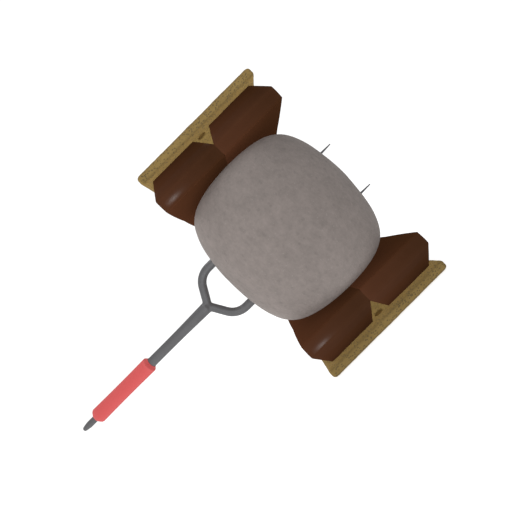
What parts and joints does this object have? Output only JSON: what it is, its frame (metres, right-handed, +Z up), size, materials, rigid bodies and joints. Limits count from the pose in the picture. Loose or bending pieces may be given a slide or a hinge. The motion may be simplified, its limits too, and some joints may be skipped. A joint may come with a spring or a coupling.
{
  "type": "smore",
  "caption": "S'more stacked upright: square crackers outside, blocks of chocolate, a large toasted marshmallow, and a pronged toasting fork run level through the marshmallow.",
  "frame": {"origin": "on the surface the part stands on, at the middle of its overall length and depth", "axes": "+X along the fork from its handle to its points, +Y through the stack from front to back, +Z up the stack"},
  "size_m": [0.1891, 0.077, 0.1164],
  "materials": {
    "cracker": null,
    "chocolate": null,
    "marshmallow": null,
    "fork_metal": "dull grey drawn bar",
    "handle": "satin red moulded sleeve"
  },
  "bodies": {
    "root": {"cracker_bottom": "cracker", "cracker_top": "cracker", "chocolate_lower_handle_front": "chocolate", "chocolate_lower_handle_back": "chocolate", "chocolate_lower_prong_front": "chocolate", "chocolate_lower_prong_back": "chocolate", "chocolate_upper_handle_front": "chocolate", "chocolate_upper_handle_back": "chocolate", "chocolate_upper_prong_front": "chocolate", "chocolate_upper_prong_back": "chocolate", "marshmallow": "marshmallow", "fork": "fork_metal", "handle": "handle"}
  },
  "joints": []
}
